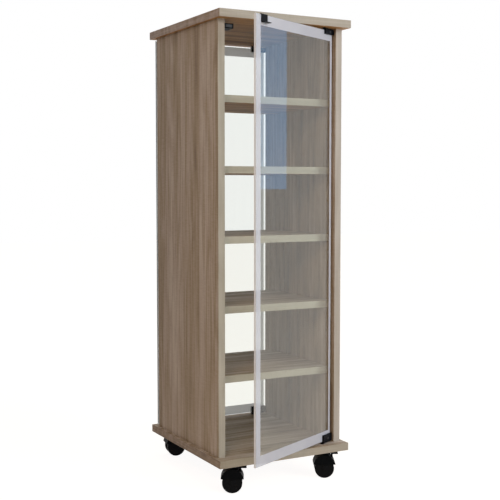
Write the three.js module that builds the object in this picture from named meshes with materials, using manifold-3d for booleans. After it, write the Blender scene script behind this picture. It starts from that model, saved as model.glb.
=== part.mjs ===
// A media tower on four swivel casters, open from front to back, with a glass door at each end.
// Millimetres, +Z up, X to the right, the front towards -Y. The front door stands part open, the rear one is shut.
// The origin is on the floor, under the middle of the box that holds the tower as it stands.
import * as THREE from "three";
import { mergeVertices } from "three/addons/utils/BufferGeometryUtils.js";
import Module from "manifold-3d";

// Carcass boards
const bodyWidth = 295;
const bodyDepth = 310;
const sideThickness = 15;
const capThickness = 16;
const capSideOverhang = 8;
const capEndOverhang = 22.75;
const shelfCount = 5;
const shelfThickness = 15;
const shelfSpacing = 130;
const endCompartmentHeight = 147.5;
const shelfInset = 29;

// Glass doors, hung on pivots that stand inboard of the glass's hinge edge
const glassThickness = 4;
const glassGapToBody = 1;
const glassGapToCaps = 5;
const glassOverhangLeft = 1.5;
const glassGapToRightSide = 3;
const pivotFromHingeEdge = 29;
const frontDoorOpenAngle = 25.75;

// Clearances that touching, cut or turning pieces keep
const seatGap = 0.3;
const runningGap = 0.25;
const cutOverrun = 1;

// Door hardware
const pivotPinRadius = 2.5;
const pivotPinDepth = 10;
const bushRadius = 4.5;
const bushDepth = 12;
const clampGapToCap = 2.5;
const lowerClampHeight = 16.5;
const upperClampHeight = 11;
const clampThickness = 12;
const clampBeyondPivot = 2.5;
const clampBeyondGlass = 1.8;
const clipWidth = 20.5;
const clipHeight = 17.4;
const clipFromFreeEdge = 17;
const clipSheet = 1.2;
const clipLipReach = 9.3;

// Magnetic catch on the left side panel
const catchReach = 21;
const catchDepth = 28;
const catchHeight = 10;
const catchBelowTop = 8;
const catchGapToClip = 0.8;
const magnetWidth = 14;
const magnetDepth = 12;
const magnetHeight = 5;
const magnetProud = 0.4;

// Countersunk screws that draw the base against the side panels
const screwRadius = 2.5;
const screwLength = 46;
const screwHeadRadius = 5;
const screwHeadDepth = 3;
const screwFromBoardEnd = 65;

// Twin-wheel casters
const casterPlateSide = 32;
const casterPlateThickness = 2.5;
const casterPlateFromBaseSide = 27.5;
const casterPlateFromBaseEnd = 3.25;
const stemRadius = 4;
const wheelRadius = 21;
const wheelWidth = 10;
const wheelTrail = 5.5;
const wheelEdgeRadius = 1.5;
const wheelFaceRingRadius = 17.4;
const wheelFaceRecess = 0.8;
const wheelBoreDepth = 8;
const wheelSideGap = 0.4;
const axleRadius = 2.5;
const axleEndGap = 0.5;
const hoodRadius = 24;
const hoodRise = 5.5;
const hoodWall = 2;
const hoodSkirtWall = 1.5;
const hoodSkirtAboveAxle = 9;
const hoodWebWidth = 11;
const hoodBossRadius = 6.5;
const hoodNeckRadius = 8;
const hoodNeckGapToPlate = 0.5;
const hoodCrownBelowPlate = 3.5;
const hoodFloorUnderStem = 2;
const stemEndGap = 1;

// Brake lever on each front caster
const leverReach = 24.2;
const leverGapToPlate = 0.8;
const leverSheet = 3;
const leverWidth = 14;
const leverGapToNeck = 1.7;
const leverPivotAboveAxle = 20.5;
const leverRootRadius = 2.5;
const leverRootWidth = 8;
const leverNeckThickness = 3.6;

// Which way each caster's wheels trail, in degrees from +X, as the casters stand
const casterHeadings = {
  front_left: 151.7,
  front_right: 151.7,
  rear_left: -10,
  rear_right: 12,
};

const roundSegments = 24;
const smallRoundSegments = 16;
const arcSegments = 20;

// Places worked out from the dimensions above
const casterHeight = casterPlateThickness + hoodCrownBelowPlate + hoodRadius + hoodRise + wheelRadius;
const sideHeight = 2 * endCompartmentHeight + shelfCount * shelfThickness + (shelfCount - 1) * shelfSpacing;
const baseBottom = casterHeight;
const baseTop = baseBottom + capThickness;
const topBottom = baseTop + sideHeight;
const innerHalfWidth = bodyWidth / 2 - sideThickness;
const capWidth = bodyWidth + 2 * capSideOverhang;
const capDepth = bodyDepth + 2 * capEndOverhang;
const casterX = capWidth / 2 - casterPlateFromBaseSide - casterPlateSide / 2;
const casterY = capDepth / 2 - casterPlateFromBaseEnd - casterPlateSide / 2;
const hingeEdgeX = innerHalfWidth - glassGapToRightSide;
const freeEdgeX = -bodyWidth / 2 - glassOverhangLeft;
const glassWidth = hingeEdgeX - freeEdgeX;
const pivotX = hingeEdgeX - pivotFromHingeEdge;
const pivotY = bodyDepth / 2 + glassGapToBody + glassThickness / 2;
const doorAngle = THREE.MathUtils.degToRad(frontDoorOpenAngle);
const doorReach = glassWidth - pivotFromHingeEdge;
const clipOuterFace = glassThickness / 2 + seatGap + clipSheet;
const clipFarEnd = doorReach - clipFromFreeEdge;
const lipTipY = clipFarEnd * Math.sin(doorAngle) + (clipOuterFace + clipLipReach) * Math.cos(doorAngle);
const carcassY = (pivotY + lipTipY - capDepth / 2) / 2;

const wasm = await Module();
wasm.setup();

function toSolid(geometry) {
  const bare = geometry.clone();
  bare.deleteAttribute("normal");
  bare.deleteAttribute("uv");
  const merged = mergeVertices(bare, 1e-4);
  return new wasm.Manifold(
    new wasm.Mesh({
      numProp: 3,
      vertProperties: merged.attributes.position.array,
      triVerts: new Uint32Array(merged.index.array),
    }),
  );
}

function toGeometry(solid) {
  const made = solid.getMesh();
  const geometry = new THREE.BufferGeometry();
  geometry.setAttribute("position", new THREE.BufferAttribute(made.vertProperties, 3));
  geometry.setIndex(new THREE.BufferAttribute(made.triVerts, 1));
  return geometry.toNonIndexed();
}

// A block given by its lowest and highest corners
function block(low, high) {
  const size = high.map((value, i) => value - low[i]);
  const geometry = new THREE.BoxGeometry(...size);
  return geometry.translate(...low.map((value, i) => value + size[i] / 2));
}

// An upright round bar between two heights
function uprightRod(radius, x, y, low, high, segments = smallRoundSegments) {
  const geometry = new THREE.CylinderGeometry(radius, radius, high - low, segments);
  geometry.rotateX(Math.PI / 2);
  return geometry.translate(x, y, (low + high) / 2);
}

// A round bar along Y between two places
function crossRod(radius, x, z, low, high, segments = roundSegments) {
  const geometry = new THREE.CylinderGeometry(radius, radius, high - low, segments);
  return geometry.translate(x, (low + high) / 2, z);
}

// An outline in the XZ plane, carried along Y from -width / 2 to width / 2
function crossExtrusion(shape, width) {
  const geometry = new THREE.ExtrudeGeometry(shape, { depth: width, bevelEnabled: false, curveSegments: arcSegments });
  geometry.rotateX(Math.PI / 2);
  return geometry.translate(0, width / 2, 0);
}

const finishes = {
  oak: { color: 0xb3a48c, roughness: 0.55, metalness: 0 },
  glass: { color: 0xcfd8de, roughness: 0.08, metalness: 0, transparent: true, opacity: 0.4 },
  blackMetal: { color: 0x131416, roughness: 0.4, metalness: 0.6 },
  blackPlastic: { color: 0x17181a, roughness: 0.3, metalness: 0 },
  tread: { color: 0x2c2d30, roughness: 0.65, metalness: 0 },
  steel: { color: 0xb9bcc0, roughness: 0.3, metalness: 1 },
};

function addPiece(group, name, geometry, finish) {
  const mesh = new THREE.Mesh(geometry, new THREE.MeshStandardMaterial(finishes[finish]));
  mesh.name = name;
  group.add(mesh);
  return mesh;
}

const tower = new THREE.Group();
const carcass = new THREE.Group();
carcass.position.y = carcassY;
tower.add(carcass);

const ends = [
  { name: "front", out: -1, angle: doorAngle },
  { name: "rear", out: 1, angle: 0 },
];
const screwX = bodyWidth / 2 - sideThickness / 2;

// Top and base, each a board that stands out past the sides, with a blind hole at each end for a pivot bush
function capBoard(bottom, bushHoleLow, bushHoleHigh) {
  let board = toSolid(
    block([-capWidth / 2, -capDepth / 2, bottom], [capWidth / 2, capDepth / 2, bottom + capThickness]),
  );
  for (const end of ends) {
    const hole = uprightRod(bushRadius + seatGap, pivotX, end.out * pivotY, bushHoleLow, bushHoleHigh);
    board = board.subtract(toSolid(hole));
  }
  return board;
}

// A countersunk screw that stands head down, its head flush with the underside of the base.
// Grown by a clearance, the same form is the hole it goes in.
function baseScrew(x, y, clearance) {
  const tip = screwLength + clearance;
  const profile = [
    new THREE.Vector2(0, -clearance * cutOverrun),
    new THREE.Vector2(screwHeadRadius + clearance, -clearance * cutOverrun),
    new THREE.Vector2(screwRadius + clearance, screwHeadDepth),
    new THREE.Vector2(screwRadius + clearance, tip - screwRadius),
    new THREE.Vector2(0, tip),
  ];
  const geometry = new THREE.LatheGeometry(profile, smallRoundSegments);
  geometry.rotateX(Math.PI / 2);
  return geometry.translate(x, y, baseBottom);
}

let basePanel = capBoard(baseBottom, baseTop - bushDepth, baseTop + cutOverrun);
const topPanel = capBoard(topBottom, topBottom - cutOverrun, topBottom + bushDepth);
addPiece(carcass, "top_panel", toGeometry(topPanel), "oak");

for (const side of [
  { name: "left", sign: -1 },
  { name: "right", sign: 1 },
]) {
  const innerX = side.sign * innerHalfWidth;
  const outerX = side.sign * (bodyWidth / 2);
  let panel = toSolid(
    block(
      [Math.min(innerX, outerX), -bodyDepth / 2, baseTop],
      [Math.max(innerX, outerX), bodyDepth / 2, topBottom],
    ),
  );
  for (const end of ends) {
    const x = side.sign * screwX;
    const y = end.out * (bodyDepth / 2 - screwFromBoardEnd);
    const hole = toSolid(baseScrew(x, y, seatGap));
    panel = panel.subtract(hole);
    basePanel = basePanel.subtract(hole);
    addPiece(carcass, `base_screw_${end.name}_${side.name}`, baseScrew(x, y, 0), "steel");
  }
  addPiece(carcass, `${side.name}_side_panel`, toGeometry(panel), "oak");
}
addPiece(carcass, "base_panel", toGeometry(basePanel), "oak");

for (let i = 0; i < shelfCount; i += 1) {
  const bottom = baseTop + endCompartmentHeight + i * (shelfThickness + shelfSpacing);
  const reach = bodyDepth / 2 - shelfInset;
  const shelf = block([-innerHalfWidth, -reach, bottom], [innerHalfWidth, reach, bottom + shelfThickness]);
  addPiece(carcass, `shelf_${i + 1}`, shelf, "oak");
}

// Door levels, the same at both ends
const glassBottom = baseTop + glassGapToCaps;
const glassTop = topBottom - glassGapToCaps;
const levels = [
  { name: "lower", face: baseTop, up: 1, clampHeight: lowerClampHeight },
  { name: "upper", face: topBottom, up: -1, clampHeight: upperClampHeight },
];

// A block between two heights measured from a cap board's face, into the space between the caps
function levelBlock(level, lowXY, near, highXY, far) {
  const z = [level.face + level.up * near, level.face + level.up * far];
  return block([...lowXY, Math.min(...z)], [...highXY, Math.max(...z)]);
}

function levelRod(level, radius, x, y, near, far) {
  const z = [level.face + level.up * near, level.face + level.up * far];
  return uprightRod(radius, x, y, Math.min(...z), Math.max(...z));
}

// The bush let in flush with a cap board's face, with the blind bore that the pivot pin turns in
function pivotBush(level, end) {
  const y = end.out * pivotY;
  const bush = toSolid(levelRod(level, bushRadius, pivotX, y, -bushDepth, 0));
  const bore = levelRod(level, pivotPinRadius + runningGap, pivotX, y, -pivotPinDepth - runningGap, cutOverrun);
  return toGeometry(bush.subtract(toSolid(bore)));
}

// The clamp that grips the glass's corner, with its pivot pin, in the door's own frame
function hingeClamp(level) {
  const near = clampGapToCap;
  const far = near + level.clampHeight;
  const low = [-clampBeyondPivot, -clampThickness / 2];
  const high = [pivotFromHingeEdge + clampBeyondGlass, clampThickness / 2];
  const slotHalf = glassThickness / 2 + seatGap;
  const slotLow = [-clampBeyondPivot - cutOverrun, -slotHalf];
  const slotHigh = [pivotFromHingeEdge + seatGap, slotHalf];
  const body = toSolid(levelBlock(level, low, near, high, far));
  const slot = toSolid(levelBlock(level, slotLow, glassGapToCaps - seatGap, slotHigh, far + cutOverrun));
  const pin = toSolid(levelRod(level, pivotPinRadius, 0, 0, -pivotPinDepth, near + seatGap));
  return toGeometry(body.subtract(slot).add(pin));
}

// The clip over the glass's top edge: two cheeks, a bridge, and a finger lip along the outer cheek's lower edge
function pullClip(out) {
  const left = -clipFarEnd;
  const right = left + clipWidth;
  const innerFace = glassThickness / 2 + seatGap;
  const crown = glassTop + seatGap + clipSheet;
  const foot = crown - clipHeight;
  const span = (near, far, low, high) => {
    const y = [out * near, out * far];
    return toSolid(block([left, Math.min(...y), low], [right, Math.max(...y), high]));
  };
  const bridge = span(-clipOuterFace, clipOuterFace, glassTop + seatGap, crown);
  const outerCheek = span(innerFace, clipOuterFace, foot, crown);
  const innerCheek = span(-innerFace, -clipOuterFace, foot, crown);
  const lip = span(innerFace, clipOuterFace + clipLipReach, foot, foot + clipSheet);
  return toGeometry(bridge.add(outerCheek).add(innerCheek).add(lip));
}

// The catch: a housing screwed to the left side panel, and the magnet in its mouth
const clipInnerY = pivotY - clipOuterFace;
const magnetFaceY = clipInnerY - catchGapToClip;
const housingFaceY = magnetFaceY - magnetProud;
const catchTop = topBottom - catchBelowTop;
const catchMiddleZ = catchTop - catchHeight / 2;
const clipMiddleX = pivotX - clipFarEnd + clipWidth / 2;

function magnetBlock(out, grow, faceGrow) {
  const y = [out * (magnetFaceY + faceGrow), out * (magnetFaceY - magnetDepth - grow)];
  const half = [magnetWidth / 2 + grow, magnetHeight / 2 + grow];
  return block(
    [clipMiddleX - half[0], Math.min(...y), catchMiddleZ - half[1]],
    [clipMiddleX + half[0], Math.max(...y), catchMiddleZ + half[1]],
  );
}

function catchHousing(out) {
  const y = [out * housingFaceY, out * (housingFaceY - catchDepth)];
  const body = toSolid(
    block(
      [-innerHalfWidth, Math.min(...y), catchTop - catchHeight],
      [-innerHalfWidth + catchReach, Math.max(...y), catchTop],
    ),
  );
  return toGeometry(body.subtract(toSolid(magnetBlock(out, seatGap, cutOverrun))));
}

for (const end of ends) {
  const door = new THREE.Group();
  door.position.set(pivotX, end.out * pivotY, 0);
  door.rotation.z = end.angle;
  carcass.add(door);
  const halfGlass = glassThickness / 2;
  const glass = block([-doorReach, -halfGlass, glassBottom], [pivotFromHingeEdge, halfGlass, glassTop]);
  addPiece(door, `${end.name}_door_glass`, glass, "glass");
  addPiece(door, `${end.name}_door_pull_clip`, pullClip(end.out), "blackMetal");
  for (const level of levels) {
    addPiece(door, `${end.name}_door_${level.name}_hinge_clamp`, hingeClamp(level), "blackMetal");
    addPiece(carcass, `${end.name}_${level.name}_pivot_bush`, pivotBush(level, end), "blackPlastic");
  }
  addPiece(carcass, `${end.name}_catch_housing`, catchHousing(end.out), "blackPlastic");
  addPiece(carcass, `${end.name}_catch_magnet`, magnetBlock(end.out, 0, 0), "steel");
}

// Casters. Each is built hanging under the base at its swivel axis, its wheels trailing towards +X.
const axleZ = wheelRadius - casterHeight;
const hoodZ = axleZ + hoodRise;
const webHalf = hoodWebWidth / 2;
const wheelInner = webHalf + wheelSideGap;
const wheelOuter = wheelInner + wheelWidth;
const skirtInner = wheelOuter + wheelSideGap;
const hoodWidth = 2 * (skirtInner + hoodSkirtWall);
const wellRadius = hoodRadius - hoodWall;
const stemBottom = axleZ + hoodSkirtAboveAxle + hoodFloorUnderStem + stemEndGap;
const leverPivotX = -hoodNeckRadius - leverGapToNeck - leverNeckThickness / 2;
const leverPivotZ = axleZ + leverPivotAboveAxle;

// The plate screwed under the base, with the stem that the hood turns on
function casterPlate() {
  const half = casterPlateSide / 2;
  const plate = toSolid(block([-half, -half, -casterPlateThickness], [half, half, 0]));
  const stem = uprightRod(stemRadius, 0, 0, stemBottom, -casterPlateThickness + cutOverrun);
  return toGeometry(plate.add(toSolid(stem)));
}

// The hood over both wheels: a round-backed shell, its round centred above the axle, with straight skirts, a neck
// round the stem, and a web to the axle
function casterHood(withLever) {
  const skirtAngle = Math.asin((hoodSkirtAboveAxle - hoodRise) / hoodRadius);
  const outline = new THREE.Shape();
  outline.absarc(wheelTrail, hoodZ, hoodRadius, skirtAngle, Math.PI - skirtAngle, false);
  outline.closePath();
  let hood = toSolid(crossExtrusion(outline, hoodWidth));
  for (const side of [-1, 1]) {
    const wellEnds = [side * webHalf, side * skirtInner];
    const well = crossRod(wellRadius, wheelTrail, hoodZ, Math.min(...wellEnds), Math.max(...wellEnds), 2 * arcSegments);
    hood = hood.subtract(toSolid(well));
  }
  const neck = uprightRod(
    hoodNeckRadius,
    0,
    0,
    hoodZ + hoodRadius - hoodWall,
    -casterPlateThickness - hoodNeckGapToPlate,
    roundSegments,
  );
  const boss = crossRod(hoodBossRadius, wheelTrail, axleZ, -webHalf, webHalf);
  const web = block(
    [wheelTrail - hoodBossRadius, -webHalf, axleZ],
    [wheelTrail + hoodBossRadius, webHalf, axleZ + hoodSkirtAboveAxle + cutOverrun],
  );
  hood = hood.add(toSolid(neck)).add(toSolid(boss)).add(toSolid(web));
  const stemBore = uprightRod(stemRadius + runningGap, 0, 0, stemBottom - stemEndGap, 0);
  const axleBore = crossRod(axleRadius + runningGap, wheelTrail, axleZ, -hoodWidth, hoodWidth, smallRoundSegments);
  hood = hood.subtract(toSolid(stemBore)).subtract(toSolid(axleBore));
  if (withLever) {
    const notchRadius = leverRootRadius + seatGap;
    const notchHalf = leverRootWidth / 2 + seatGap;
    const seat = crossRod(notchRadius, leverPivotX, leverPivotZ, -notchHalf, notchHalf);
    const mouth = block(
      [leverPivotX - notchRadius, -notchHalf, leverPivotZ],
      [leverPivotX + notchRadius, notchHalf, 0],
    );
    hood = hood.subtract(toSolid(seat)).subtract(toSolid(mouth));
  }
  return toGeometry(hood);
}

// One wheel: a moulded disc with a rounded tread edge, a shallow dish in its outer face and a blind bore
function casterWheel() {
  const flat = wheelWidth - wheelFaceRecess;
  const profile = [new THREE.Vector2(0, wheelBoreDepth)];
  profile.push(new THREE.Vector2(axleRadius + runningGap, wheelBoreDepth));
  profile.push(new THREE.Vector2(axleRadius + runningGap, 0));
  const corner = (centreY, from) => {
    for (let i = 0; i <= 2; i += 1) {
      const angle = from + (i * Math.PI) / 4;
      const x = wheelRadius - wheelEdgeRadius + wheelEdgeRadius * Math.cos(angle);
      profile.push(new THREE.Vector2(x, centreY + wheelEdgeRadius * Math.sin(angle)));
    }
  };
  corner(wheelEdgeRadius, -Math.PI / 2);
  corner(wheelWidth - wheelEdgeRadius, 0);
  profile.push(new THREE.Vector2(wheelFaceRingRadius, wheelWidth));
  profile.push(new THREE.Vector2(wheelFaceRingRadius - wheelFaceRecess, flat));
  profile.push(new THREE.Vector2(0, flat));
  return new THREE.LatheGeometry(profile, 2 * smallRoundSegments);
}

// The brake lever, away from the wheels' trail: a flat pedal on a neck, whose round root turns in the hood's notch
function brakeLever() {
  const pedalTop = -casterPlateThickness - leverGapToPlate;
  const pedal = block(
    [-leverReach, -leverWidth / 2, pedalTop - leverSheet],
    [leverPivotX + leverNeckThickness / 2, leverWidth / 2, pedalTop],
  );
  const rootHalf = leverRootWidth / 2;
  const root = crossRod(leverRootRadius, leverPivotX, leverPivotZ, -rootHalf, rootHalf);
  const neck = block(
    [leverPivotX - leverNeckThickness / 2, -rootHalf, leverPivotZ],
    [leverPivotX + leverNeckThickness / 2, rootHalf, pedalTop - leverSheet / 2],
  );
  return toGeometry(toSolid(pedal).add(toSolid(root)).add(toSolid(neck)));
}

for (const end of ends) {
  for (const side of [
    { name: "left", sign: -1 },
    { name: "right", sign: 1 },
  ]) {
    const place = `${end.name}_${side.name}`;
    const swivelX = side.sign * casterX;
    const swivelY = end.out * casterY;
    const fixed = addPiece(carcass, `${place}_caster_plate`, casterPlate(), "blackMetal");
    fixed.position.set(swivelX, swivelY, baseBottom);
    const caster = new THREE.Group();
    caster.position.set(swivelX, swivelY, baseBottom);
    caster.rotation.z = THREE.MathUtils.degToRad(casterHeadings[place]);
    carcass.add(caster);
    const braked = end.name === "front";
    addPiece(caster, `${place}_caster_hood`, casterHood(braked), "blackPlastic");
    const axleHalf = wheelInner + wheelBoreDepth - axleEndGap;
    const axle = crossRod(axleRadius, wheelTrail, axleZ, -axleHalf, axleHalf, smallRoundSegments);
    addPiece(caster, `${place}_caster_axle`, axle, "steel");
    const farWheel = addPiece(caster, `${place}_caster_far_wheel`, casterWheel(), "tread");
    farWheel.position.set(wheelTrail, wheelInner, axleZ);
    const nearWheel = addPiece(caster, `${place}_caster_near_wheel`, casterWheel(), "tread");
    nearWheel.position.set(wheelTrail, -wheelInner, axleZ);
    nearWheel.rotation.z = Math.PI;
    if (braked) addPiece(caster, `${place}_brake_lever`, brakeLever(), "blackPlastic");
  }
}

export default tower;
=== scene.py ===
# %% [markdown]
# A tower for disc cases, dressed for its portrait.
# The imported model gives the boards, the glass and every moving piece in metres, each already in its place.
# This lesson gives them their finishes, swaps the plainest solids for smoother ones, and sets up the studio.

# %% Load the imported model
import math
import bmesh
import bpy
import numpy as np
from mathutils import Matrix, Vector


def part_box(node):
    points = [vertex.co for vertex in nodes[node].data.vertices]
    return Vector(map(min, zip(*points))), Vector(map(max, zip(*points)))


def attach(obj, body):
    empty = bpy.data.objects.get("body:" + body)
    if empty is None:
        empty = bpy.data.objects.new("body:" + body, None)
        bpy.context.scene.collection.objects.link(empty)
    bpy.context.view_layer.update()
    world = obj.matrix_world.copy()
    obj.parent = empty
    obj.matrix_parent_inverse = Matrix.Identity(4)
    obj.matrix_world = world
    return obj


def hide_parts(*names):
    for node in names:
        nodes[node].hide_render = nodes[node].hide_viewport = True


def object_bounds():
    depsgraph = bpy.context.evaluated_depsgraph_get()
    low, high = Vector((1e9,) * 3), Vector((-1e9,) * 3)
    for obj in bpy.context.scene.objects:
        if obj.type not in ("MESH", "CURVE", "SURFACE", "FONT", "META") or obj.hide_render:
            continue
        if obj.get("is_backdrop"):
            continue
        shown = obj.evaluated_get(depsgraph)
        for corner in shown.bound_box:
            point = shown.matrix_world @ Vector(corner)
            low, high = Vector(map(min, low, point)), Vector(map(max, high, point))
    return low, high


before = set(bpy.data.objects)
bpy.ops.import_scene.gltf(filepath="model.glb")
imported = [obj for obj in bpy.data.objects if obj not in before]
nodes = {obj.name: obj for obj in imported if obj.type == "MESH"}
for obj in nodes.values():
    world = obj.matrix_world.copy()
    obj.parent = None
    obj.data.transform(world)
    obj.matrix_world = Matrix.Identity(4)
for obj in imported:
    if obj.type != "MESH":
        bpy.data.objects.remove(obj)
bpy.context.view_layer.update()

# %% [markdown]
# The numbers below repeat the sizes of the real piece, in millimetres as a maker would write them.
# One factor turns them to metres. Pieces of a door or a caster are drawn in that piece's own frame,
# with its pivot at zero, and then turned and carried to where it stands.

# %% Sizes of the real piece
MM = 0.001
glass_thickness = 4.0
pivot_from_hinge_edge = 29.0
door_reach = 249.5
door_open_angle = 25.75
caster_height = 56.5
wheel_radius = 21.0
wheel_trail = 5.5
axle_height = wheel_radius - caster_height
caster_headings = {"front_left": 151.7, "front_right": 151.7, "rear_left": -10.0, "rear_right": 12.0}
glass_low, glass_high = (np.array(corner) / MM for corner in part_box("rear_door_glass"))
glass_bottom, glass_top = glass_low[2], glass_high[2]
pivot_x = glass_high[0] - pivot_from_hinge_edge
rear_pivot_y = (glass_low[1] + glass_high[1]) / 2
side_low, side_high = (np.array(corner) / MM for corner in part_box("left_side_panel"))
carcass_y = (side_low[1] + side_high[1]) / 2
front_pivot_y = 2 * carcass_y - rear_pivot_y
print("glass from", round(glass_bottom, 2), "to", round(glass_top, 2), "carcass middle", round(carcass_y, 2))

# %% [markdown]
# A photograph of a tall, narrow thing is taken from well back with a long lens, so its uprights stay
# nearly parallel. The camera here stands to the front left, a little above the middle, and tips down
# by under four degrees.

# %% Camera
camera_x, camera_before_middle, camera_above_base = -1025.55, 1918.54, 569.55
camera_tip, camera_turn = 86.34, -28.33
camera_data = bpy.data.cameras.new("studio_camera")
camera_data.lens = 70.36
camera_data.sensor_width = 36.0
camera = bpy.data.objects.new("studio_camera", camera_data)
camera.location = (camera_x * MM, (carcass_y - camera_before_middle) * MM,
                   (camera_above_base + caster_height) * MM)
camera.rotation_euler = (math.radians(camera_tip), 0.0, math.radians(camera_turn))
bpy.context.collection.objects.link(camera)
bpy.context.scene.camera = camera
print("camera at", [round(value, 3) for value in camera.location])

# %% [markdown]
# Colours are written as the hex values that a paint chart or a picture editor shows. Those are sRGB, and
# the renderer wants linear light, so one function turns them. One more adds a node with its settings and
# its links, which keeps each finish readable as a short list.

# %% Colour and node helpers
def linear(hex_text):
    """sRGB to linear: each share of full brightness s becomes s / 12.92 up to 0.04045, and
    ((s + 0.055) / 1.055) to the power 2.4 above it."""
    share = np.array([int(hex_text[i:i + 2], 16) for i in (0, 2, 4)]) / 255
    turned = np.where(share <= 0.04045, share / 12.92, ((share + 0.055) / 1.055) ** 2.4)
    return (*turned.tolist(), 1.0)


def add_node(tree, kind, settings=(), links=(), stops=()):
    """Adds one node. A lower-case name in settings is a property of the node, any other key is a socket."""
    node = tree.nodes.new(kind)
    for key, value in dict(settings).items():
        if isinstance(key, str) and key[0].islower():
            setattr(node, key, value)
        else:
            node.inputs[key].default_value = value
    for key, socket in dict(links).items():
        tree.links.new(socket, node.inputs[key])
    for i, (place, hex_text) in enumerate(stops):
        ramp = node.color_ramp
        stop = ramp.elements[i] if i < 2 else ramp.elements.new(place)
        stop.position = place
        stop.color = linear(hex_text)
    return node


def new_finish(name):
    """An empty material and its node tree, with only the output in it."""
    material = bpy.data.materials.new(name)
    material.use_nodes = True
    tree = material.node_tree
    tree.nodes.clear()
    output = add_node(tree, "ShaderNodeOutputMaterial")
    return material, tree, output


print("oak mid tone in linear light", [round(value, 3) for value in linear("b3a48c")[:3]])

# %% [markdown]
# The boards are particle board faced with a printed sawn-oak foil, pressed on with a faint grain of its
# own. The print shows what a saw shows in oak: broad bands of lighter and darker wood, long streaks a few
# millimetres wide, growth rings that run straight and then close into tall flames, short dark pores, and
# fine marks of the blade across them. Streaks, bands and pores are noise stretched along the grain. The
# rings are the contour lines of a slow noise, drawn with a sine, because contours run straight on a slope
# and close round a hilltop just as rings do. The grain runs up the side panels and from side to side on
# the flat boards, whose left and right edges carry a strip with the grain along the edge, a shade darker
# than the faces. Front and rear edges wear an edging tape of their own, which is paler, greyer and calmer
# than the foil. Undersides, which are only ever seen in shade, get that shade painted in: their foil is
# made browner and darker.

# %% Sawn oak foil
BROAD_BAND = 34 * MM
STREAK = 5 * MM
RING_SLOPE = 48 * MM
RINGS_PER_SLOPE = 6
PORE_WIDTH = 1.6 * MM
SAW_MARK = 1.8 * MM
FACING = 0.7


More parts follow.
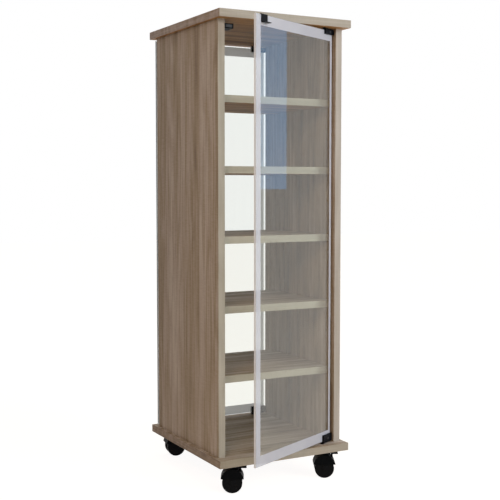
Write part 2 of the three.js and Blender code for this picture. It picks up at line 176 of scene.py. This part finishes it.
def oak_foil(name, tape_tones, along, ring_along, saw_along, edge_along=None):
    """Noise at point p scaled by the vector along, where the grain's own axis has a small factor, so that a
    spot of width w becomes a streak of length w / factor. A ring line follows sin(2 pi k n), where n is the
    slow noise and k the number of rings on its slope. The tone is a weighted sum of them all. A face
    counts as a side, a front or an underside when its normal goes further than FACING that way."""
    material, tree, output = new_finish(name)
    place = add_node(tree, "ShaderNodeTexCoord").outputs["Object"]
    normal = add_node(tree, "ShaderNodeSeparateXYZ",
                      links={0: add_node(tree, "ShaderNodeNewGeometry").outputs["Normal"]})
    sizes = [add_node(tree, "ShaderNodeMath", {"operation": "ABSOLUTE"},
                      {0: normal.outputs[axis]}).outputs[0] for axis in ("X", "Y")]
    on_side, on_front = [add_node(tree, "ShaderNodeMath", {"operation": "GREATER_THAN", 1: FACING},
                                  {0: size}).outputs[0] for size in sizes]
    grain, slow, blade = [add_node(tree, "ShaderNodeVectorMath", {"operation": "MULTIPLY", 1: factors},
                                   {0: place}).outputs[0]
                          for factors in (along, ring_along, saw_along)]
    if edge_along:
        edge = add_node(tree, "ShaderNodeVectorMath", {"operation": "MULTIPLY", 1: edge_along},
                        {0: place}).outputs[0]
        grain = add_node(tree, "ShaderNodeMix", {"data_type": "VECTOR"},
                         {0: on_side, 4: grain, 5: edge}).outputs[1]
    bands, streaks, pores, slope, marks = [
        add_node(tree, "ShaderNodeTexNoise", {"Scale": 1 / width, "Detail": detail, "Roughness": rough},
                 {"Vector": vector}).outputs[0]
        for width, detail, rough, vector in ((BROAD_BAND, 2.0, 0.5, grain), (STREAK, 5.0, 0.6, grain),
                                             (PORE_WIDTH, 1.0, 0.5, grain), (RING_SLOPE, 2.0, 0.35, slow),
                                             (SAW_MARK, 1.0, 0.5, blade))]
    turns = add_node(tree, "ShaderNodeMath", {"operation": "MULTIPLY", 1: 2 * math.pi * RINGS_PER_SLOPE},
                     {0: slope})
    rings = add_node(tree, "ShaderNodeMath", {"operation": "SINE"}, {0: turns.outputs[0]}).outputs[0]
    tone = add_node(tree, "ShaderNodeMath", {"operation": "MULTIPLY", 1: 0.5}, {0: bands}).outputs[0]
    for share, part in ((0.44, streaks), (0.038, rings), (0.10, marks)):
        tone = add_node(tree, "ShaderNodeMath", {"operation": "MULTIPLY_ADD", 1: share},
                        {0: part, 2: tone}).outputs[0]
    foil = add_node(tree, "ShaderNodeValToRGB", links={0: tone},
                    stops=[(0.37, "765c46"), (0.67, "cdbfb0"), (0.45, "957f64"), (0.52, "a8937b"),
                           (0.58, "b8a697")])
    dark = add_node(tree, "ShaderNodeMapRange", {"From Min": 0.60, "From Max": 0.72, "To Max": 0.4},
                    {"Value": pores})
    foil = add_node(tree, "ShaderNodeMix", {"data_type": "RGBA", 7: linear("6b543c")},
                    {0: dark.outputs[0], 6: foil.outputs[0]})
    # Painted shade: on undersides the foil is multiplied browner and darker, standing in for the warm shade
    # under the boards.
    under = add_node(tree, "ShaderNodeMath", {"operation": "LESS_THAN", 1: -FACING},
                     {0: normal.outputs["Z"]})
    foil = add_node(tree, "ShaderNodeMix",
                    {"data_type": "RGBA", "blend_type": "MULTIPLY", 7: linear("ffd79e")},
                    {0: under.outputs[0], 6: foil.outputs[2]})
    if edge_along:
        foil = add_node(tree, "ShaderNodeMix",
                        {"data_type": "RGBA", "blend_type": "MULTIPLY", 7: linear("e3dddd")},
                        {0: on_side, 6: foil.outputs[2]})
    tape = add_node(tree, "ShaderNodeValToRGB", links={0: tone},
                    stops=[(0.40, tape_tones[0]), (0.66, tape_tones[1])])
    colour = add_node(tree, "ShaderNodeMix", {"data_type": "RGBA"},
                      {0: on_front, 6: foil.outputs[2], 7: tape.outputs[0]})
    rough = add_node(tree, "ShaderNodeMapRange", {"To Min": 0.5, "To Max": 0.68}, {"Value": streaks})
    edges = add_node(tree, "ShaderNodeBevel", {"samples": 4, "Radius": 0.5 * MM})
    relief = add_node(tree, "ShaderNodeBump", {"Strength": 0.35, "Distance": 0.3 * MM},
                      {"Height": streaks, "Normal": edges.outputs[0]})
    surface = add_node(tree, "ShaderNodeBsdfPrincipled", {"IOR": 1.45},
                       {"Base Color": colour.outputs[2], "Roughness": rough.outputs[0],
                        "Normal": relief.outputs[0]})
    tree.links.new(surface.outputs[0], output.inputs["Surface"])
    return material


upright_oak = oak_foil("sawn_oak_foil_upright", ("a09485", "b9aea0"),
                       (1, 1, 0.028), (1, 1, 0.13), (0.1, 0.1, 1))
flat_oak = oak_foil("sawn_oak_foil_flat", ("998d7b", "b1a695"),
                    (0.028, 1, 1), (0.13, 1, 1), (1, 0.1, 0.1), (1, 0.028, 1))
for name, node in nodes.items():
    if "side_panel" in name:
        node.data.materials[0] = upright_oak
    elif name.endswith("panel") or name.startswith("shelf"):
        node.data.materials[0] = flat_oak
print("oak on the boards, streaks", STREAK / MM, "mm wide")

# %% [markdown]
# The door is float glass, 4 mm thick, cut and polished. Glass is the same all through: the shader only
# needs its index, 1.52, and a breath of green. Light that had to bend through it on its way from a lamp
# or a lit wall would be lost and leave the shelves black, so for those rays alone the glass steps aside.

# %% Float glass
float_glass, tree, output = new_finish("float_glass")
pane = add_node(tree, "ShaderNodeBsdfPrincipled",
                {"Base Color": linear("f6f9f5"), "Roughness": 0.0, "IOR": 1.52, "Transmission Weight": 1.0})
through = add_node(tree, "ShaderNodeBsdfTransparent", {"Color": linear("f6f9f5")})
paths = add_node(tree, "ShaderNodeLightPath")
aside = add_node(tree, "ShaderNodeMath", {"operation": "MAXIMUM"},
                 {0: paths.outputs["Is Shadow Ray"], 1: paths.outputs["Is Diffuse Ray"]})
mixed = add_node(tree, "ShaderNodeMixShader",
                 links={0: aside.outputs[0], 1: pane.outputs[0], 2: through.outputs[0]})
tree.links.new(mixed.outputs[0], output.inputs["Surface"])
for end in ("front", "rear"):
    nodes[f"{end}_door_glass"].data.materials[0] = float_glass
print("glass on both doors")

# %% [markdown]
# The border of each pane is frosted by blasting it with fine grit through a mask. Frosted glass scatters
# light both ways, so it looks pale grey and hides what lies close behind. Light is scattered where it
# enters the thin layer and leaves it freely, and an eighth of it goes straight through. The grit is far too
# fine to draw, so the noise that stands for it is a millimetre across.

# %% Frosted border finish
GRIT = 1.2 * MM
frost, tree, output = new_finish("grit_frosted_glass")
place = add_node(tree, "ShaderNodeTexCoord").outputs["Object"]
grit = add_node(tree, "ShaderNodeTexNoise", {"Scale": 1 / GRIT, "Detail": 2.0}, {"Vector": place})
cloud = add_node(tree, "ShaderNodeTexNoise", {"Scale": 1 / (60 * MM), "Detail": 2.0}, {"Vector": place})
tint = add_node(tree, "ShaderNodeValToRGB", links={0: cloud.outputs[0]},
                stops=[(0.3, "d9d7df"), (0.7, "e2e1e7")])
relief = add_node(tree, "ShaderNodeBump", {"Strength": 0.25, "Distance": 0.05 * MM},
                  {"Height": grit.outputs[0]})
veil = add_node(tree, "ShaderNodeBsdfPrincipled", {"Roughness": 0.6, "IOR": 1.5},
                {"Base Color": tint.outputs[0], "Normal": relief.outputs[0]})
lit_through = add_node(tree, "ShaderNodeBsdfTranslucent", links={"Color": tint.outputs[0]})
clear = add_node(tree, "ShaderNodeBsdfTransparent")
leaving = add_node(tree, "ShaderNodeNewGeometry").outputs["Backfacing"]
open_share = add_node(tree, "ShaderNodeMath", {"operation": "MAXIMUM", 1: 0.13}, {0: leaving})
mixed = add_node(tree, "ShaderNodeMixShader", {0: 0.3}, {1: veil.outputs[0], 2: lit_through.outputs[0]})
mixed = add_node(tree, "ShaderNodeMixShader",
                 links={0: open_share.outputs[0], 1: mixed.outputs[0], 2: clear.outputs[0]})
tree.links.new(mixed.outputs[0], output.inputs["Surface"])

# %% [markdown]
# The rim of a pane is ground flat and left satin, so it catches light as a pale line, where a polished
# rim would look black. Both rims are the same ground glass. The shut rear pane lies against the boards, so
# its rim has no light from behind, and that shade is painted in as a deeper sea grey.

# %% Ground rim finish
rim_finishes_rear_painted_shade = {}
# The rear rim's darker tones are painted shade on the same ground glass as the front rim.
for end, dim, bright in (("front", "e6e8ee", "f2f3f7"), ("rear", "2f373d", "40484f")):
    rim_finishes_rear_painted_shade[end], tree, output = new_finish(f"{end}_ground_glass_rim")
    place = add_node(tree, "ShaderNodeTexCoord").outputs["Object"]
    wheel_marks = add_node(tree, "ShaderNodeTexNoise", {"Scale": 1 / (8 * MM), "Detail": 2.0},
                           {"Vector": place})
    tint = add_node(tree, "ShaderNodeValToRGB", links={0: wheel_marks.outputs[0]},
                    stops=[(0.3, dim), (0.7, bright)])
    rim = add_node(tree, "ShaderNodeBsdfPrincipled", {"Roughness": 0.45, "IOR": 1.52},
                   {"Base Color": tint.outputs[0]})
    tree.links.new(rim.outputs[0], output.inputs["Surface"])

# %% [markdown]
# The hardware comes in few finishes. Clamps, clips and caster plates are steel with a satin black powder
# coat, which dries with a slight orange peel. Hoods, levers and bushes are moulded ABS with a satin skin.
# Wheels and catch bodies are polyamide with a dull, spark-eroded face that picks up a little dust. Base
# screws and axles are zinc-plated steel, the small screws are blackened to match their clamps and plates,
# and the magnets are sintered ferrite, dull and dark.

# %% Hardware finishes
def moulded(name, dark, light, spot, roughness, relief_share, ior, shine=0.5, metallic=0.0):
    """A plain body colour that drifts between two close tones over a spot size, with a skin of fine
    relief. The shine is the share of its usual mirror-like reflection, where 0.5 stands for all of it."""
    material, tree, output = new_finish(name)
    place = add_node(tree, "ShaderNodeTexCoord").outputs["Object"]
    drift = add_node(tree, "ShaderNodeTexNoise", {"Scale": 1 / spot, "Detail": 4.0}, {"Vector": place})
    tone = add_node(tree, "ShaderNodeValToRGB", links={0: drift.outputs[0]},
                    stops=[(0.35, dark), (0.7, light)])
    skin = add_node(tree, "ShaderNodeTexNoise", {"Scale": 5 / spot, "Detail": 2.0}, {"Vector": place})
    rough = add_node(tree, "ShaderNodeMapRange", {"To Min": roughness * 0.85, "To Max": roughness * 1.15},
                     {"Value": drift.outputs[0]})
    edges = add_node(tree, "ShaderNodeBevel", {"samples": 4, "Radius": 0.4 * MM})
    relief = add_node(tree, "ShaderNodeBump", {"Strength": relief_share, "Distance": 0.1 * MM},
                      {"Height": skin.outputs[0], "Normal": edges.outputs[0]})
    surface = add_node(tree, "ShaderNodeBsdfPrincipled",
                       {"IOR": ior, "Specular IOR Level": shine, "Metallic": metallic},
                       {"Base Color": tone.outputs[0], "Roughness": rough.outputs[0],
                        "Normal": relief.outputs[0]})
    tree.links.new(surface.outputs[0], output.inputs["Surface"])
    return material


powder_coat = moulded("black_powder_coat", "07080c", "0d0e13", 4 * MM, 0.36, 0.25, 1.5, 0.06)
satin_abs = moulded("satin_moulded_abs", "060708", "0b0c0e", 9 * MM, 0.45, 0.08, 1.53, 0.03)
dull_polyamide = moulded("dull_moulded_polyamide", "090909", "111112", 3 * MM, 0.5, 0.3, 1.53, 0.05)
black_zinc = moulded("black_passivated_steel", "141519", "26272b", 2 * MM, 0.3, 0.1, 1.5, 0.5)
zinc_plate = moulded("zinc_plated_steel", "a9adb3", "c3c6ca", 3 * MM, 0.28, 0.1, 1.5, metallic=1.0)
for name, node in nodes.items():
    if name.endswith("plate"):
        node.data.materials[0] = powder_coat
    elif name.endswith("bush"):
        node.data.materials[0] = satin_abs
    elif "axle" in name or "screw" in name:
        node.data.materials[0] = zinc_plate
ferrite = moulded("sintered_ferrite", "1b1b1d", "29292b", 2 * MM, 0.6, 0.3, 1.6)
for end in ("front", "rear"):
    nodes[f"{end}_catch_magnet"].data.materials[0] = ferrite
print("hardware finishes set")

# %% [markdown]
# New pieces are surfaces on a grid. Two parameters name each point, the whole grid is worked out at once
# as an array, and its quads are joined in the same way every time. A grid can close on itself in either
# direction, like a tube or a ring, and the open ends of a tube are closed with one face each.

# %% Surface helpers
EDGE_ANGLE = 35.0


def grid_faces(rows, columns, close_rows, close_columns, caps, offset=0):
    """Point (i, j) has number i * columns + j. Each quad joins it to (i, j + 1), (i + 1, j + 1) and
    (i + 1, j)."""
    i = np.arange(rows if close_rows else rows - 1)[:, None]
    j = np.arange(columns if close_columns else columns - 1)[None, :]
    i2, j2 = (i + 1) % rows, (j + 1) % columns
    quads = np.stack([i * columns + j, i * columns + j2, i2 * columns + j2, i2 * columns + j], axis=-1)
    faces = (quads.reshape(-1, 4) + offset).tolist()
    if caps:
        faces.append((np.arange(columns)[::-1] + offset).tolist())
        faces.append((np.arange(columns) + (rows - 1) * columns + offset).tolist())
    return faces


def make_piece(name, grids, finish, body, smooth_angle=EDGE_ANGLE):
    """grids is a list of (points array of shape rows x columns x 3 in millimetres, close_rows,
    close_columns, caps). They become one mesh with its place in its points."""
    points = []
    faces = []
    for grid, close_rows, close_columns, caps in grids:
        rows, columns = grid.shape[:2]
        faces += grid_faces(rows, columns, close_rows, close_columns, caps, sum(len(p) for p in points))
        points.append(grid.reshape(-1, 3))
    mesh = bpy.data.meshes.new(name)
    mesh.from_pydata((np.concatenate(points) * MM).tolist(), [], faces)
    return dress(name, mesh, finish, body, smooth_angle)


def dress(name, mesh, finish, body, smooth_angle):
    """Turns the faces outwards, smooths all but the edges sharper than smooth_angle, and joins the body."""
    work = bmesh.new()
    work.from_mesh(mesh)
    bmesh.ops.recalc_face_normals(work, faces=work.faces)
    work.to_mesh(mesh)
    work.free()
    mesh.materials.clear()
    mesh.materials.append(finish)
    mesh.shade_smooth()
    mesh.set_sharp_from_angle(angle=math.radians(smooth_angle))
    piece = bpy.data.objects.new(name, mesh)
    bpy.context.collection.objects.link(piece)
    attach(piece, body)
    return piece


def turn_and_carry(points, angle, x, y, z=0.0):
    """Turns points about the upright axis by an angle in degrees and carries them to (x, y, z)."""
    c, s = math.cos(math.radians(angle)), math.sin(math.radians(angle))
    turn = np.array([[c, s, 0.0], [-s, c, 0.0], [0.0, 0.0, 1.0]])
    return points @ turn + np.array([x, y, z])


def to_door(points, end):
    """From a door's own frame, its pivot at zero and its free edge towards -X, to where the door stands."""
    if end == "front":
        return turn_and_carry(points, door_open_angle, pivot_x, front_pivot_y)
    return turn_and_carry(points, 0.0, pivot_x, rear_pivot_y)


print("surface helpers ready")

# %% [markdown]
# The frosted border is a flat frame on the outer face of the glass. It is drawn as a ring with a thin
# rectangular section: four corners along it, four points across it. The border is widest along the top
# and bottom, a little narrower down the free edge and narrow at the hinges, as in the photograph. The rim
# line round the pane is a ring of the same kind, wrapped round the edge of the glass.

# %% Frosted borders
FROST_THICKNESS, FROST_CLEARANCE = 0.12, 0.03
RIM_THICKNESS, RIM_CLEARANCE = 0.05, 0.02
FLAT_ANGLE = 20.0
margin = 0.4
frost_free, frost_ends, frost_hinge = 15.5, 21.0, 7.5
for end, out in (("front", -1.0), ("rear", 1.0)):
    outer = np.array([[-door_reach + margin, glass_bottom + margin],
                      [pivot_from_hinge_edge - margin, glass_bottom + margin],
                      [pivot_from_hinge_edge - margin, glass_top - margin],
                      [-door_reach + margin, glass_top - margin]])
    inset = np.array([[frost_free, frost_ends], [-frost_hinge, frost_ends],
                      [-frost_hinge, -frost_ends], [frost_free, -frost_ends]])
    inner = outer + inset
    near = out * (glass_thickness / 2 + FROST_CLEARANCE)
    far = near + out * FROST_THICKNESS
    section = [(outer, near), (inner, near), (inner, far), (outer, far)]
    if out > 0:
        section = section[::-1]
    ring = np.stack([np.stack([xz[:, 0], np.full(4, y), xz[:, 1]], axis=-1) for xz, y in section], axis=1)
    make_piece(f"{end}_frosted_border", [(to_door(ring, end), True, True, False)], frost,
               f"{end}_door", FLAT_ANGLE)
    reach = margin + RIM_CLEARANCE + np.array([0.0, RIM_THICKNESS])
    outward = np.array([[-1, -1], [1, -1], [1, 1], [-1, 1]])
    half = glass_thickness / 2 - RIM_CLEARANCE
    edges = [(outer + outward * reach[0], -half), (outer + outward * reach[1], -half),
             (outer + outward * reach[1], half), (outer + outward * reach[0], half)]
    ring = np.stack([np.stack([xz[:, 0], np.full(4, y), xz[:, 1]], axis=-1) for xz, y in edges], axis=1)
    make_piece(f"{end}_ground_rim", [(to_door(ring, end), True, True, False)], rim_finishes_rear_painted_shade[end],
               f"{end}_door", FLAT_ANGLE)
print("frosted borders", frost_free, "mm wide at the free edges")

# %% [markdown]
# A round wheel comes from one profile turned about its axle. The tread is slightly crowned, the rim
# rounded over, and the face dished inside a thin raised ring, with a small hub cap in the middle.

# %% Turned pieces
def turned(profile, steps=56):
    """Point (i, j): profile point i, at radius r and height h, turned by 2 pi j / steps about the axle,
    which lies along Y: (r cos, h, r sin)."""
    profile = np.array(profile)
    angle = np.arange(steps) * (2 * math.pi / steps)
    r, h = profile[:, :1], profile[:, 1:]
    return np.stack([r * np.cos(angle), h + 0 * angle, r * np.sin(angle)], axis=-1)


def arc(centre_r, centre_h, radius, start, stop, steps=6):
    """Points on a circle round (centre_r, centre_h), from start to stop in degrees."""
    angle = np.radians(np.linspace(start, stop, steps))
    return np.stack([centre_r + radius * np.cos(angle), centre_h + radius * np.sin(angle)], axis=-1).tolist()


wheel_profile = [(0.01, 8.0), (2.75, 8.0), (2.75, 0.0), (16.0, 0.0)]
wheel_profile += arc(wheel_radius - 1.8, 1.8, 1.7, -90, 0)
wheel_profile += [(wheel_radius, 4.0), (wheel_radius, 6.0)]
wheel_profile += arc(wheel_radius - 1.8, 8.2, 1.7, 0, 90)
wheel_profile += [(18.0, 9.9), (17.6, 9.7), (17.4, 9.2), (16.4, 9.05), (16.0, 9.3), (15.6, 9.35), (8.5, 8.9)]
wheel_profile += [(6.6, 8.9), (6.3, 9.1), (6.1, 9.6)]
wheel_profile += arc(5.4, 9.2, 0.7, 30, 90)
wheel_profile += [(3.0, 10.0), (0.01, 10.0)]
wheel = turned(wheel_profile)
wheel_from_middle = 5.9


def to_caster(points, place):
    """From a caster's own frame, its swivel axis at zero under the base and its wheels trailing to +X."""
    plate_low, plate_high = (np.array(corner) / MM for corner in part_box(f"{place}_caster_plate"))
    middle = (plate_low + plate_high) / 2
    return turn_and_carry(points, caster_headings[place], middle[0], middle[1], caster_height)


for place in caster_headings:
    centre = np.array([wheel_trail, 0.0, axle_height])
    for which, side in (("far", 1.0), ("near", -1.0)):
        flip = np.array([side, side, 1.0])
        points = wheel * flip + centre + np.array([0.0, side * wheel_from_middle, 0.0])
        piece = make_piece(f"{place}_{which}_turned_wheel", [(to_caster(points, place), False, True, True)],
                           dull_polyamide, f"{place}_{which}_wheel")
        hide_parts(f"{place}_caster_{which}_wheel")
print("wheels turned from", len(wheel_profile), "profile points")

# %% [markdown]
# Moulded and coated pieces have no knife edges: the mould, or the coating, rounds them by half a
# millimetre or so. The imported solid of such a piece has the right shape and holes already, so a copy of
# it is welded, its flat faces are joined again, and a narrow bevel goes on every real edge.

# %% Softened pieces
def softened(node_name, finish, body, width):
    """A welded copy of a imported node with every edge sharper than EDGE_ANGLE bevelled to width, in mm."""
    mesh = bpy.data.meshes.new(f"{node_name}_soft")
    work = bmesh.new()
    work.from_mesh(nodes[node_name].data)
    bmesh.ops.remove_doubles(work, verts=work.verts, dist=0.002 * MM)
    bmesh.ops.dissolve_limit(work, angle_limit=math.radians(1.0), verts=work.verts, edges=work.edges)
    work.to_mesh(mesh)
    work.free()
    piece = dress(f"{node_name}_soft", mesh, finish, body, EDGE_ANGLE)
    bevel = piece.modifiers.new("eased_edges", "BEVEL")
    bevel.width = width * MM
    bevel.segments = 3
    bevel.limit_method = "ANGLE"
    bevel.angle_limit = math.radians(EDGE_ANGLE)
    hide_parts(node_name)


for place in caster_headings:
    softened(f"{place}_caster_hood", satin_abs, f"{place}_swivel", 0.7)
    if place.startswith("front"):
        softened(f"{place}_brake_lever", satin_abs, f"{place}_lever", 0.6)
for end in ("front", "rear"):
    softened(f"{end}_catch_housing", dull_polyamide, "carcass", 0.6)
    for level in ("lower", "upper"):
        softened(f"{end}_door_{level}_hinge_clamp", powder_coat, f"{end}_door", 0.5)
print("softened hoods, levers, catches and clamps")

# %% [markdown]
# The pull clip is one strip of steel, 1.2 mm thick, folded over the top of the glass and out into a lip
# for the fingers. A folded strip is a line with rounded corners, given its thickness to both sides and
# carried along its width.

# %% Folded clips
def folded_strip(corners, thickness, bend_radius, low_x, high_x, steps=7):
    """Rounds each inner corner of the middle line with an arc of bend_radius that touches both legs: it
    starts r tan(turn / 2) before the corner, and point k lies at the centre minus r times the turned
    normal."""
    corners = np.array(corners)
    legs = np.diff(corners, axis=0)
    legs = legs / np.linalg.norm(legs, axis=1)[:, None]
    normals = np.stack([-legs[:, 1], legs[:, 0]], axis=-1)
    line = [corners[:1]]
    across = [normals[:1]]
    for k in range(1, len(corners) - 1):
        turn = math.atan2(legs[k - 1, 0] * legs[k, 1] - legs[k - 1, 1] * legs[k, 0], legs[k - 1] @ legs[k])
        start = corners[k] - legs[k - 1] * bend_radius * math.tan(abs(turn) / 2)
        centre = start + math.copysign(1, turn) * normals[k - 1] * bend_radius
        angle = np.linspace(0, turn, steps)
        c, s = np.cos(angle), np.sin(angle)
        first = normals[k - 1]
        turned_normals = np.stack([first[0] * c - first[1] * s, first[0] * s + first[1] * c], axis=-1)
        line.append(centre - math.copysign(1, turn) * bend_radius * turned_normals)
        across.append(turned_normals)
    line.append(corners[-1:])
    across.append(normals[-1:])
    line, across = np.concatenate(line), np.concatenate(across)
    outline = np.concatenate([line + across * thickness / 2, (line - across * thickness / 2)[::-1]])
    x = np.array([low_x, high_x])[:, None] + 0 * outline[None, :, 0]
    y = np.broadcast_to(outline[:, 0], x.shape)
    z = np.broadcast_to(outline[:, 1], x.shape)
    return np.stack([x, y, z], axis=-1)


clip_sheet, clip_height, clip_width, clip_lip = 1.2, 17.4, 20.5, 9.3
clip_from_free_edge, clip_gap, clip_bend = 17.0, 0.3, 1.4
clip_left = clip_from_free_edge - door_reach
middle = glass_thickness / 2 + clip_gap + clip_sheet / 2
crown = glass_top + clip_gap + clip_sheet
foot = crown - clip_height
for end, out in (("front", -1.0), ("rear", 1.0)):
    over, under = crown - clip_sheet / 2, foot + clip_sheet / 2
    tip = middle + clip_sheet / 2 + clip_lip
    path = [(-out * middle, foot), (-out * middle, over), (out * middle, over), (out * middle, under),
            (out * tip, under)]
    strip = folded_strip(path, clip_sheet, clip_bend, clip_left, clip_left + clip_width)
    piece = make_piece(f"{end}_folded_clip", [(to_door(strip, end), False, True, True)], powder_coat,
                       f"{end}_door")
    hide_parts(f"{end}_door_pull_clip")
print("clips folded from", len(path), "corners")

# %% [markdown]
# Small screws hold the rest: one presses each clamp's jaw on the glass, two hold each catch and four hold
# each caster plate, with their heads nearly flush. Each head is a short turned cap with a round socket.

# %% Screw heads
def screw_head(radius, proud):
    """A cap of that radius standing proud by that much, its rim rounded and a socket sunk in its middle."""
    return turned([(0.01, 0.0), (radius, 0.0), (radius, proud * 0.6), (radius * 0.9, proud),
                   (radius * 0.5, proud), (radius * 0.45, proud * 0.2), (0.01, proud * 0.2)], 20)


def along_z(points):
    """Stands a turned piece's axle upright, pointing down: (x, y, z) becomes (x, z, -y)."""
    return np.stack([points[..., 0], points[..., 2], -points[..., 1]], axis=-1)


def along_x(points):
    """Turns a turned piece's axle to +X: (x, y, z) becomes (y, x, z)."""
    return np.stack([points[..., 1], points[..., 0], points[..., 2]], axis=-1)


jaw_screw_x, jaw_face = 15.0, 6.0
jaw_screw_heights = (glass_bottom + 5.7, glass_top - 3.0)
plate_screw_spread, plate_thickness = 11.5, 2.5
for end, out in (("front", -1.0), ("rear", 1.0)):
    jaw = screw_head(2.4, 0.7) * np.array([1.0, out, 1.0])
    heads = [jaw + np.array([jaw_screw_x, out * jaw_face, z]) for z in jaw_screw_heights]
    make_piece(f"{end}_jaw_screws", [(to_door(head, end), False, True, True) for head in heads], black_zinc,
               f"{end}_door")
    low, high = (np.array(corner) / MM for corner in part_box(f"{end}_catch_housing"))
    side = along_x(screw_head(2.6, 0.4))
    spots = [np.array([high[0], low[1] + share * (high[1] - low[1]), (low[2] + high[2]) / 2])
             for share in (0.25, 0.75)]
    make_piece(f"{end}_catch_screws", [(side + spot, False, True, True) for spot in spots], black_zinc,
               "carcass")
for place in caster_headings:
    low, high = (np.array(corner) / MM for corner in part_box(f"{place}_caster_plate"))
    middle = (low + high) / 2
    cap = along_z(screw_head(2.6, 0.25))
    under = high[2] - plate_thickness
    spots = [np.array([middle[0] + plate_screw_spread * i, middle[1] + plate_screw_spread * j, under])
             for i in (-1, 1) for j in (-1, 1)]
    make_piece(f"{place}_plate_screws", [(cap + spot, False, True, True) for spot in spots], black_zinc,
               "carcass")
print("screw heads set")

# %% [markdown]
# The studio is a pale floor that runs far out, a bright surround and three soft lamps. The eye, a mirror
# and a pane all see floor and surround as white. Scattered light meets them at their own level: the floor
# sends up a little warm light, as a wooden floor does. The key lamp stands to the front right, so the
# front edges are the lightest and the left side falls into shade.

# %% Floor and surround
def seen_share(tree):
    """One for rays from the camera, a mirror or a pane, and nought for scattered light."""
    paths = add_node(tree, "ShaderNodeLightPath")
    share = paths.outputs["Is Camera Ray"]
    for ray in ("Is Glossy Ray", "Is Transmission Ray"):
        share = add_node(tree, "ShaderNodeMath", {"operation": "MAXIMUM"},
                         {0: share, 1: paths.outputs[ray]}).outputs[0]
    return share


floor_reach = 9000.0
floor_points = floor_reach * np.array([[-1, -1, 0], [1, -1, 0], [1, 1, 0], [-1, 1, 0]])
floor_mesh = bpy.data.meshes.new("studio_floor")
floor_mesh.from_pydata((floor_points * MM).tolist(), [], [[0, 1, 2, 3]])
floor = bpy.data.objects.new("studio_floor", floor_mesh)
bpy.context.collection.objects.link(floor)
floor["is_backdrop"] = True
paper, tree, output = new_finish("studio_paper")
matt = add_node(tree, "ShaderNodeBsdfDiffuse", {"Color": linear("e2cdb2")})
glow = add_node(tree, "ShaderNodeEmission", {"Color": linear("ffffff"), "Strength": 1.55})
lift = add_node(tree, "ShaderNodeMath", {"operation": "MULTIPLY", 1: 0.6}, {0: seen_share(tree)})
mixed = add_node(tree, "ShaderNodeMixShader",
                 links={0: lift.outputs[0], 1: matt.outputs[0], 2: glow.outputs[0]})
tree.links.new(mixed.outputs[0], output.inputs["Surface"])
floor_mesh.materials.append(paper)

world = bpy.data.worlds.new("studio_surround")
bpy.context.scene.world = world
world.use_nodes = True
tree = world.node_tree
tree.nodes.clear()
level = add_node(tree, "ShaderNodeMapRange", {"To Min": 0.36, "To Max": 1.0}, {"Value": seen_share(tree)})
surround = add_node(tree, "ShaderNodeBackground", {"Color": linear("ffffff")},
                    {"Strength": level.outputs[0]})
add_node(tree, "ShaderNodeOutputWorld", links={"Surface": surround.outputs[0]})
print("floor and surround ready")


# %% Lamps
def soft_lamp(name, power, size, location, target, hex_text="ffffff"):
    """A square area lamp at location, turned so that its face looks at target."""
    data = bpy.data.lights.new(name, "AREA")
    data.energy = power
    data.size = size
    data.color = linear(hex_text)[:3]
    lamp = bpy.data.objects.new(name, data)
    lamp.location = location
    way = np.array(target) - np.array(location)
    lamp.rotation_euler = (math.acos(-way[2] / np.linalg.norm(way)), 0.0, math.atan2(-way[0], way[1]))
    bpy.context.collection.objects.link(lamp)


soft_lamp("key_lamp", 45.0, 1.4, (1.3, -2.35, 1.15), (0.0, 0.0, 0.45), "e0efff")
soft_lamp("left_lamp", 12.0, 0.7, (-1.5, -1.7, 1.6), (0.0, 0.0, 0.5), "ffe4cc")
soft_lamp("top_lamp", 8.0, 1.6, (-0.2, 0.3, 2.7), (0.0, 0.0, 0.5))
print("lamps set")

# %% [markdown]
# A dark brown card behind and to the left takes away light from the rear of the left side, so that
# side darkens and warms from front to rear. Only scattered light meets it.

# %% Shade card
def card_piece(name, corners, finish, hidden_from):
    """A flat card with four corners in metres, part of the studio, that the named kinds of ray pass by."""
    mesh = bpy.data.meshes.new(name)
    mesh.from_pydata(corners, [], [[0, 1, 2, 3]])
    mesh.materials.append(finish)
    card = bpy.data.objects.new(name, mesh)
    bpy.context.collection.objects.link(card)
    for ray in hidden_from:
        setattr(card, f"visible_{ray}", False)
    card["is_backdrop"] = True


brown_felt, tree, output = new_finish("brown_felt")
felt = add_node(tree, "ShaderNodeBsdfDiffuse", {"Color": linear("2b1a0e")})
tree.links.new(felt.outputs[0], output.inputs["Surface"])
card_piece("shade_card", [(-0.6, 0.0, 0.0), (-0.6, 1.5, 0.0), (-0.6, 1.5, 1.4), (-0.6, 0.0, 1.4)],
           brown_felt, ("camera", "glossy", "transmission", "shadow"))

# %% [markdown]
# The photograph shows a cool patch in the door beside its free edge, as a window to the right of the
# tower would give. A blue card does the same here. Only reflections see it, so it lights nothing and
# never stands in the picture.

# %% Window card
daylight, tree, output = new_finish("window_daylight")
glow = add_node(tree, "ShaderNodeEmission", {"Color": linear("8fb4dc"), "Strength": 4.0})
tree.links.new(glow.outputs[0], output.inputs["Surface"])
card_piece("window_card", [(1.7, -0.56, 0.62), (1.7, -0.42, 0.62), (1.7, -0.42, 1.25), (1.7, -0.56, 1.25)],
           daylight, ("camera", "diffuse", "transmission", "shadow"))
print("both cards stand")

# %% View
bpy.context.scene.view_settings.view_transform = "Standard"
print("studio ready")

# %% The visual box
low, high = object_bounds()
print("visual box", [round(value, 4) for value in (*low, *high)])
